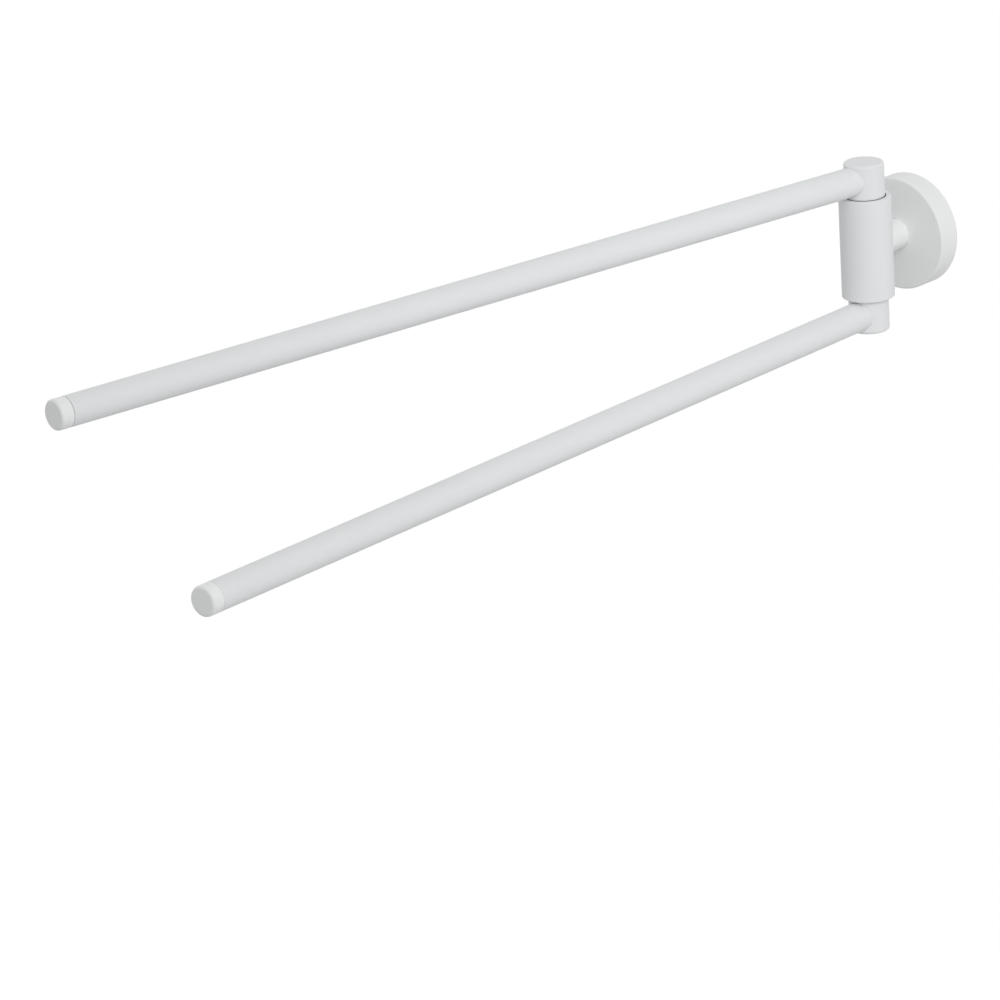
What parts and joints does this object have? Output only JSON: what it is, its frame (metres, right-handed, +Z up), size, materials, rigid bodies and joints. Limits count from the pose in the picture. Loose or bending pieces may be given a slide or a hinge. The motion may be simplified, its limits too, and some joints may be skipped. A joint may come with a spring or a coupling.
{
  "type": "double towel bar",
  "caption": "Double swivel towel bar: round arms turn one above the other on an upright hub, carried on a short stem from a round wall rosette.",
  "frame": {"origin": "centre of the wall plate's back face, on the wall", "axes": "+Y points into the wall, +Z up along the swivel axis, +X to the right as seen from the room"},
  "size_m": [0.088, 0.4294, 0.0703],
  "materials": {
    "coat": "white satin powder coat on steel",
    "cap_plastic": "white moulded plastic, satin",
    "wall_plate": "zinc-plated steel, as turned",
    "screw_steel": "stainless steel screws and washer",
    "spring_steel": "hard spring steel",
    "insert_brass": "machined brass",
    "bush_plastic": "black acetal",
    "ring_rubber": "black nitrile rubber"
  },
  "bodies": {
    "wall_mount": {"wall_plate": "wall_plate", "rosette": "coat", "rosette_grub_screw": "screw_steel", "stem": "coat", "stem_bolt": "screw_steel", "stem_lock_washer": "screw_steel", "swivel_housing": "coat", "upper_bush": "bush_plastic", "upper_disc_spring": "spring_steel", "upper_retaining_screw": "screw_steel", "lower_bush": "bush_plastic", "lower_disc_spring": "spring_steel", "lower_retaining_screw": "screw_steel"},
    "upper_arm": {"upper_collar": "coat", "upper_friction_ring": "ring_rubber", "upper_stud": "screw_steel", "upper_tube_insert": "insert_brass", "upper_tube": "coat", "upper_end_cap": "cap_plastic"},
    "lower_arm": {"lower_collar": "coat", "lower_friction_ring": "ring_rubber", "lower_stud": "screw_steel", "lower_tube_insert": "insert_brass", "lower_tube": "coat", "lower_end_cap": "cap_plastic"}
  },
  "joints": [
    {"name": "upper_swivel", "type": "hinge", "parent": "wall_mount", "child": "upper_arm", "pos_m": [0, -0.0295, 0], "axis": [0, 0, 1], "range_deg": [-81.5, 98.5]},
    {"name": "lower_swivel", "type": "hinge", "parent": "wall_mount", "child": "lower_arm", "pos_m": [0, -0.0295, 0], "axis": [0, 0, 1], "range_deg": [-92.3, 87.7]}
  ]
}
